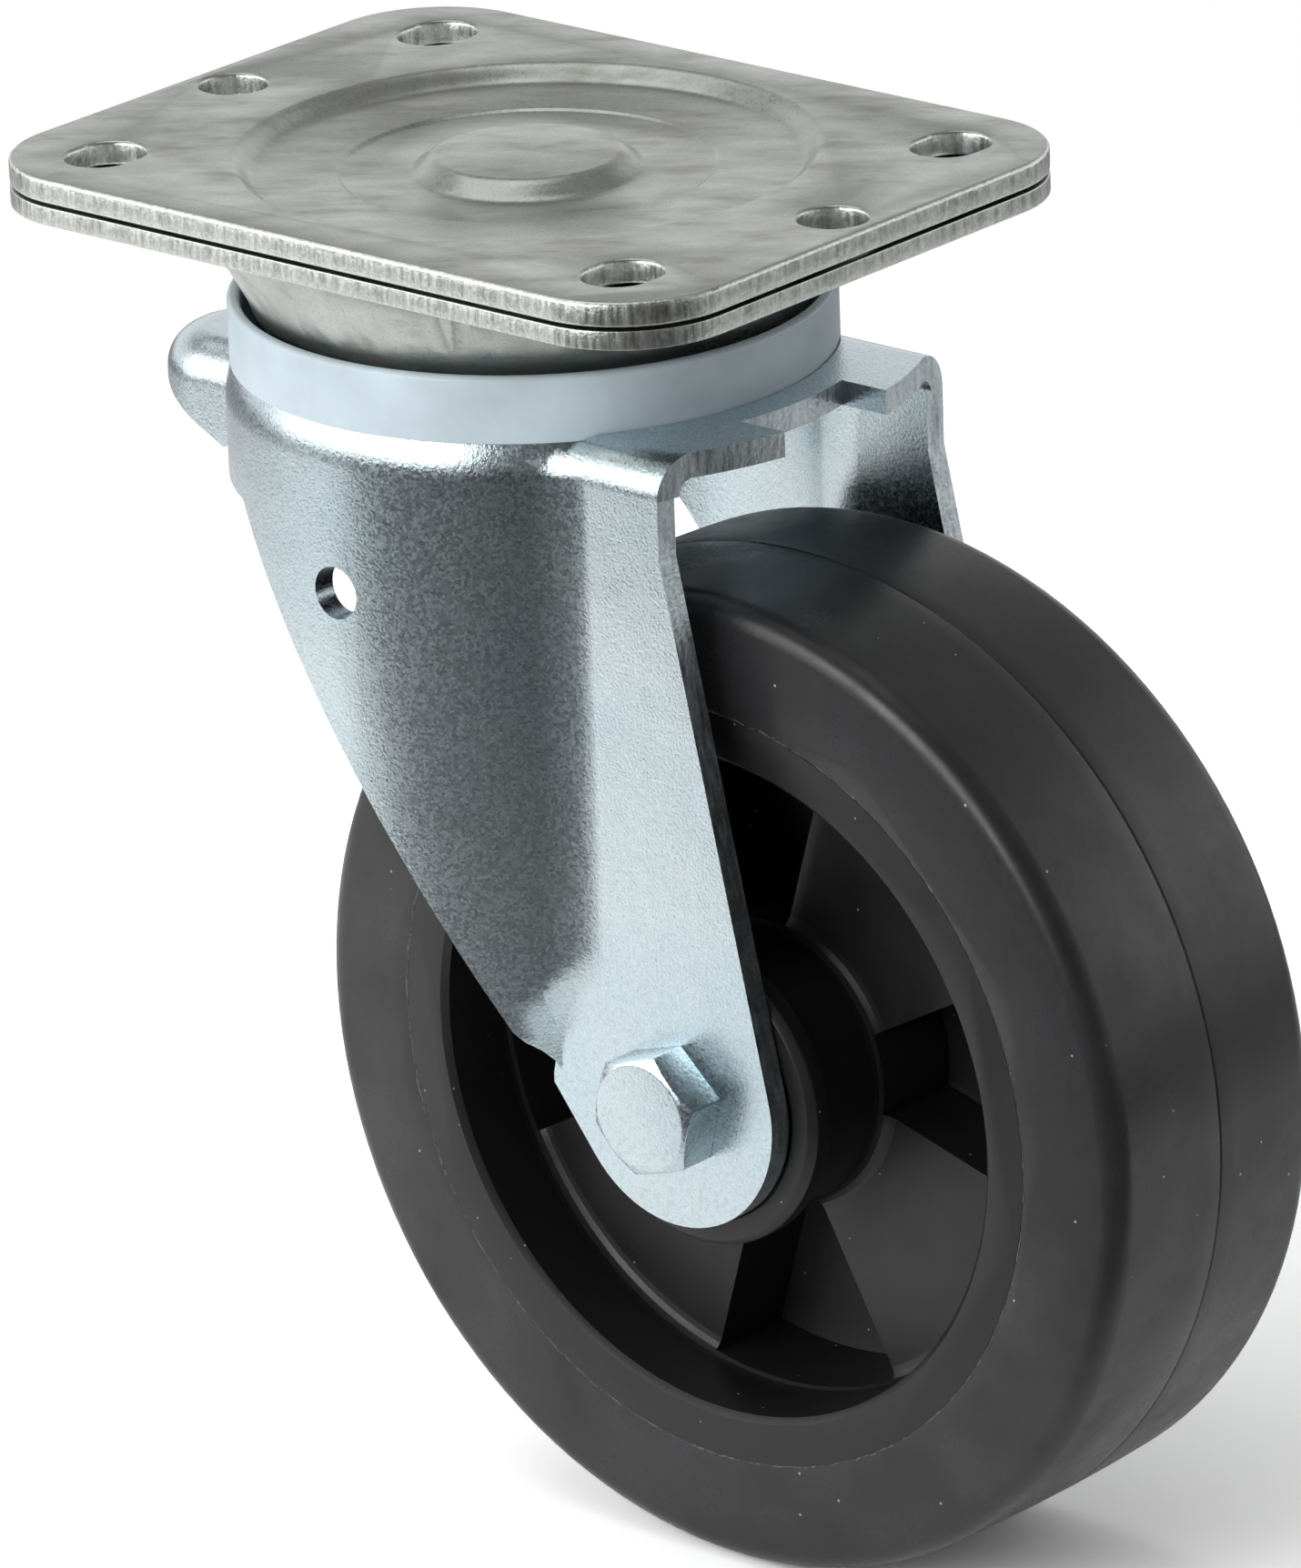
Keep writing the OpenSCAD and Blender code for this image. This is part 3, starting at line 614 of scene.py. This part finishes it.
def press_flat(piece, run, spacing):
    """Lets the drum run down smoothly, over a length run, into the flat round each leg's end."""
    mesh = piece.data
    flat = [abs(corner.co.x) for corner in mesh.vertices if axle_distance(corner.co) < FLAT_R - MM]
    activate(piece)
    bpy.ops.object.mode_set(mode="EDIT")
    bpy.ops.mesh.select_mode(type="FACE")
    for step in range(round((FLAT_R + run) / spacing)):
        bpy.ops.mesh.select_all(action="DESELECT")
        bpy.ops.object.mode_set(mode="OBJECT")
        for face in mesh.polygons:
            nearest = min(axle_distance(mesh.vertices[i].co) for i in face.vertices)
            face.select = nearest < FLAT_R + run and abs(face.normal.x) < 0.9995
        bpy.ops.object.mode_set(mode="EDIT")
        bpy.ops.mesh.bisect(plane_co=(0, 0, AXLE.z + step * spacing), plane_no=(0, 0, 1))
    bpy.ops.object.mode_set(mode="OBJECT")
    for corner in mesh.vertices:
        if corner.co.y < AXLE.y and abs(corner.co.x) > LEG_IN:
            side = math.copysign(1, corner.co.x)
            base = side * (max(flat) if corner.normal.x * side > 0 else min(flat))
            share = min(1.0, max(0.0, (axle_distance(corner.co) - FLAT_R) / run))
            corner.co.x = base + (corner.co.x - base) * share * share * (3 - 2 * share)
    bpy.ops.object.mode_set(mode="EDIT")
    bpy.ops.mesh.select_all(action="SELECT")
    bpy.ops.mesh.remove_doubles(threshold=MERGE)
    bpy.ops.mesh.dissolve_degenerate(threshold=MERGE)
    bpy.ops.object.mode_set(mode="OBJECT")


class CASTOR_OT_fork(bpy.types.Operator):
    """Dresses the pressed fork"""

    bl_idname = "castor.fork"
    bl_label = "Fork"

    def execute(self, context):
        shape = context.scene.castor_shape
        finish = context.scene.castor_finish
        piece = merged_copy("fork", "dressed_fork")
        face_zinc = bright_zinc("bright_zinc", finish.fork_zinc)
        paint(piece, face_zinc, sheared_zinc("sheared_fork", finish.fork_zinc))
        press_flat(piece, shape.flat_run, FLAT_CUTS)
        for face in piece.data.polygons:
            face.material_index = 1 if is_cut_edge(face) else 0
        soften(piece, shape.sheet_edge, shape.edge_steps)
        even_shading(piece)
        stand_in(piece, "fork")
        return {"FINISHED"}


class CASTOR_OT_wheel(bpy.types.Operator):
    """Dresses the wheel centre, its hub seals and the tyre"""

    bl_idname = "castor.wheel"
    bl_label = "Wheel"

    def execute(self, context):
        shape = context.scene.castor_shape
        finish = context.scene.castor_finish
        plastic = moulded_plastic("wheel_plastic", finish.wheel_plastic, 0.42, 0.5)
        centre = merged_copy("wheel_centre", "dressed_wheel_centre")
        paint(centre, plastic)
        web_out = WEB_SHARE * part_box("wheel_centre")[1].x
        round_edges(centre, shape.panel_edge, shape.edge_steps, wanted=lambda place: abs(place.x) < web_out)
        soften(centre, shape.moulded_edge, shape.edge_steps)
        stand_in(centre, "wheel_centre")
        tyre = merged_copy("tyre", "dressed_tyre")
        paint(tyre, black_rubber("tyre_rubber", finish.tyre_rubber))
        soften(tyre, shape.moulded_edge, shape.edge_steps, 28)
        stand_in(tyre, "tyre")
        for cad_node in ("near_hub_seal", "far_hub_seal"):
            seal = merged_copy(cad_node, "dressed_" + cad_node)
            paint(seal, plastic)
            soften(seal, shape.turned_edge, shape.edge_steps)
            stand_in(seal, cad_node)
        return {"FINISHED"}


class CASTOR_OT_dust_ring(bpy.types.Operator):
    """Dresses the dust ring on the fork's head"""

    bl_idname = "castor.dust_ring"
    bl_label = "Dust Ring"

    def execute(self, context):
        shape = context.scene.castor_shape
        finish = context.scene.castor_finish
        ring = merged_copy("dust_ring", "dressed_dust_ring")
        paint(ring, moulded_plastic("ring_plastic", finish.ring_plastic, 0.34, 0.1))
        soften(ring, shape.turned_edge, shape.edge_steps)
        stand_in(ring, "dust_ring")
        return {"FINISHED"}


class CASTOR_OT_fasteners(bpy.types.Operator):
    """Dresses the axle bolt, the nut, its washer and its lock insert"""

    bl_idname = "castor.fasteners"
    bl_label = "Axle Fasteners"

    def execute(self, context):
        shape = context.scene.castor_shape
        finish = context.scene.castor_finish
        zinc = bright_zinc("fastener_zinc", finish.fork_zinc)
        for cad_node in ("axle_bolt", "nut_washer", "axle_nut"):
            piece = merged_copy(cad_node, "dressed_" + cad_node)
            paint(piece, zinc)
            soften(piece, shape.turned_edge, shape.edge_steps, 15)
            stand_in(piece, cad_node)
        paint(NODES["nut_lock_insert"], moulded_plastic("lock_nylon", finish.nylon, 0.4, 0.0))
        return {"FINISHED"}


class CASTOR_OT_inner_parts(bpy.types.Operator):
    """Gives the swivel head's and the bearing's inner parts their finish"""

    bl_idname = "castor.inner_parts"
    bl_label = "Inner Parts"

    def execute(self, context):
        finish = context.scene.castor_finish
        steel = ground_steel("bearing_steel", finish.steel)
        for cad_node in ("king_pin", "lower_race", "upper_balls", "lower_balls"):
            paint(NODES[cad_node], steel)
        for cad_node in ("axle_tube", "bearing_sleeve", "bearing_rollers"):
            paint(NODES[cad_node], steel)
        paint(NODES["roller_cage"], moulded_plastic("cage_nylon", finish.nylon, 0.4, 0.0))
        return {"FINISHED"}


def softbox(name, place, target, size, power):
    """A square studio light that faces the target."""
    bpy.ops.object.light_add(type="AREA", location=place)
    lamp = bpy.context.view_layer.objects.active
    lamp.name = name
    lamp.data.size = size
    lamp.data.energy = power
    lamp.visible_camera = False
    lamp.rotation_euler = (Vector(target) - Vector(place)).to_track_quat("-Z", "Y").to_euler()


def pale_floor(stage, front):
    """White floor with soft shadows; metal mirrors it as a painted reflection, brighter than it is lit, and
    darker on the camera's side and far off.
    """
    material, tree, shader, place = start_finish("pale_floor")
    tree.nodes.remove(shader)
    path = add_node(tree, "ShaderNodeLightPath")
    away = add_node(tree, "ShaderNodeVectorMath", {0: place}, operation="LENGTH").outputs["Value"]
    # Painted reflection: only glossy rays see the floor boosted beyond its light, darkened on the camera's
    # side and dimmed far off, which paints dark bands and highlights into the metal.
    near = span(tree, along(tree, place, front), 0.12, 0.20, stage.painted_mirror_boost, stage.painted_front_shade)
    painted_reflection_shade = product(tree, near, span(tree, away, 0.46, 0.62, 1.0, 0.35))
    painted_reflection_floor = blend_values(tree, path.outputs["Is Glossy Ray"], 1.0, painted_reflection_shade)
    shown = blend_values(tree, path.outputs["Is Camera Ray"], painted_reflection_floor, stage.white_boost)
    inputs = {"Vector": stage.floor_colour, "Scale": shown}
    colour = add_node(tree, "ShaderNodeVectorMath", inputs, operation="SCALE").outputs[0]
    matt = add_node(tree, "ShaderNodeBsdfDiffuse", {"Color": colour}).outputs[0]
    white = add_node(tree, "ShaderNodeEmission").outputs[0]
    far = product(tree, path.outputs["Is Camera Ray"], span(tree, away, 0.4, 0.9))
    surface = add_node(tree, "ShaderNodeMixShader", {0: far, 1: matt, 2: white}).outputs[0]
    tree.links.new(surface, tree.nodes["Material Output"].inputs["Surface"])
    return material


def studio_world(stage, front):
    """White room; metal mirrors it as a painted reflection, dimmer overhead and behind the camera."""
    world = bpy.data.worlds.new("studio")
    world.use_nodes = True
    tree = world.node_tree
    path = add_node(tree, "ShaderNodeLightPath")
    direction = add_node(tree, "ShaderNodeTexCoord").outputs["Generated"]
    # Painted reflection: only glossy rays see these darker walls towards the camera and the dimmer ceiling;
    # other rays get the even fill light.
    painted_wall_reflection = span(tree, along(tree, direction, front), 0.0, 0.8, 1.0, stage.painted_front_shade)
    height = along(tree, direction, (0, 0, 1))
    room = product(tree, painted_wall_reflection, span(tree, height, 0.36, 0.6, 1.0, stage.painted_ceiling_shade))
    lit = blend_values(tree, path.outputs["Is Glossy Ray"], stage.fill_light, room)
    shown = blend_values(tree, path.outputs["Is Camera Ray"], lit, 1.0)
    tree.links.new(shown, tree.nodes["Background"].inputs["Strength"])
    tree.nodes["Background"].inputs["Color"].default_value = (1, 1, 1, 1)
    return world


class CASTOR_OT_stage(bpy.types.Operator):
    """Sets the floor, the soft studio lights, the world and the camera"""

    bl_idname = "castor.stage"
    bl_label = "Stage"

    def execute(self, context):
        stage = context.scene.castor_stage
        deselect_all()
        bpy.ops.mesh.primitive_plane_add(size=FLOOR_SIZE, location=(0, 0, FLOOR_Z - FLOOR_GAP))
        floor = context.view_layer.objects.active
        floor.name = "floor"
        turn = stage.azimuth
        rise = stage.elevation
        flat = math.cos(rise)
        back = Vector((math.sin(turn) * flat, -math.cos(turn) * flat, math.sin(rise)))
        right = Vector((math.cos(turn), math.sin(turn), 0))
        up = back.cross(right)
        level = Vector((back.x, back.y, 0)).normalized()
        across = right * math.cos(stage.roll) + up * math.sin(stage.roll)
        upright = up * math.cos(stage.roll) - right * math.sin(stage.roll)
        target = right * stage.target_right + Vector((0, 0, stage.target_height))
        paint(floor, pale_floor(stage, level))
        bpy.ops.object.camera_add()
        camera = context.view_layer.objects.active
        camera.name = "photo_camera"
        camera.data.lens = stage.lens
        camera.data.sensor_width = SENSOR_WIDTH
        camera.data.clip_start = CLIP_NEAR
        camera.data.clip_end = CLIP_FAR
        turned = Matrix((across, upright, back)).transposed().to_4x4()
        camera.matrix_world = Matrix.Translation(target + back * stage.distance) @ turned
        context.scene.camera = camera
        up_z = Vector((0, 0, 1))
        softbox("top_light", target + up_z * 1.1 - level * 0.15 - right * 0.3, target, 0.9, 2.8)
        softbox("key_light", target + level * 0.7 + up_z * 0.42 - right * 0.7, target, 0.6, 5.2)
        softbox("left_light", target - right * 1.1 + level * 0.1 + up_z * 0.45, target, 1.0, 4.4)
        softbox("right_light", target + right * 1.1 - level * 0.3 + up_z * 0.5, target, 0.7, 0.6)
        context.scene.world = studio_world(stage, level)
        context.scene.view_settings.view_transform = "Standard"
        return {"FINISHED"}


class CASTOR_PT_sidebar(bpy.types.Panel):
    """Lists the castor's sizes, finishes and steps"""

    bl_idname = "CASTOR_PT_sidebar"
    bl_label = "Swivel Castor"
    bl_space_type = "VIEW_3D"
    bl_region_type = "UI"
    bl_category = "Castor"

    def draw(self, context):
        layout = self.layout
        for group in (context.scene.castor_shape, context.scene.castor_finish, context.scene.castor_stage):
            box = layout.box()
            for name in group.__annotations__:
                box.prop(group, name)
        for operator in OPERATORS:
            layout.operator(operator.bl_idname)


GROUPS = (CastorShape, CastorFinish, CastorStage)
OPERATORS = (
    CASTOR_OT_plates,
    CASTOR_OT_fork,
    CASTOR_OT_wheel,
    CASTOR_OT_dust_ring,
    CASTOR_OT_fasteners,
    CASTOR_OT_inner_parts,
    CASTOR_OT_stage,
)
CLASSES = (*GROUPS, *OPERATORS, CASTOR_PT_sidebar)


def register():
    for cls in CLASSES:
        bpy.utils.register_class(cls)
    bpy.types.Scene.castor_shape = PointerProperty(type=CastorShape)
    bpy.types.Scene.castor_finish = PointerProperty(type=CastorFinish)
    bpy.types.Scene.castor_stage = PointerProperty(type=CastorStage)


def unregister():
    del bpy.types.Scene.castor_stage
    del bpy.types.Scene.castor_finish
    del bpy.types.Scene.castor_shape
    for cls in reversed(CLASSES):
        bpy.utils.unregister_class(cls)


def main():
    register()
    bpy.ops.castor.plates()
    bpy.ops.castor.fork()
    bpy.ops.castor.wheel()
    bpy.ops.castor.dust_ring()
    bpy.ops.castor.fasteners()
    bpy.ops.castor.inner_parts()
    bpy.ops.castor.stage()


if __name__ == "__main__":
    main()
